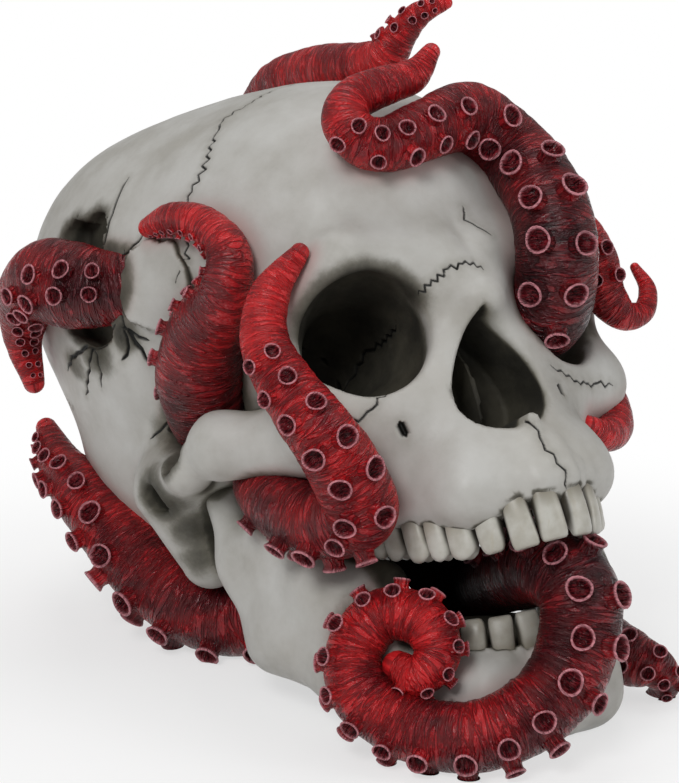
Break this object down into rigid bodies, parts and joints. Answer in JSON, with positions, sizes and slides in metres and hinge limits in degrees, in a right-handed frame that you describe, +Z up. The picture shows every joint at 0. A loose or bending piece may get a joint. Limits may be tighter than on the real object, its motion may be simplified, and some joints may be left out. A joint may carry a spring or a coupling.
{
  "type": "skull statue with octopus arms",
  "caption": "Cast resin human skull ornament with an open jaw, and tapering suckered octopus arms that come out of the eye socket, mouth, temple and broken vault.",
  "frame": {"origin": "on the ground, under the middle of the statue's footprint", "axes": "+Z up, the face looks along -Y and up, the skull's own right side at -X"},
  "size_m": [0.1344, 0.2018, 0.1603],
  "materials": {
    "bone": "matte cast resin painted off-white, with dark grime washed into the hollows",
    "enamel": "satin ivory paint with grime between the teeth",
    "flesh": "satin red paint, maroon at the roots, with pink sucker rims"
  },
  "bodies": {
    "root": {"cranium": "bone", "mandible": "bone", "upper_teeth": "enamel", "lower_teeth": "enamel", "nape_arm": "flesh", "temple_arm": "flesh", "cheek_arm": "flesh", "brow_arm": "flesh", "crown_arm": "flesh", "jaw_arm": "flesh", "left_temple_arm": "flesh", "left_cheek_arm": "flesh", "mouth_arm": "flesh", "chin_arm": "flesh"}
  },
  "joints": []
}
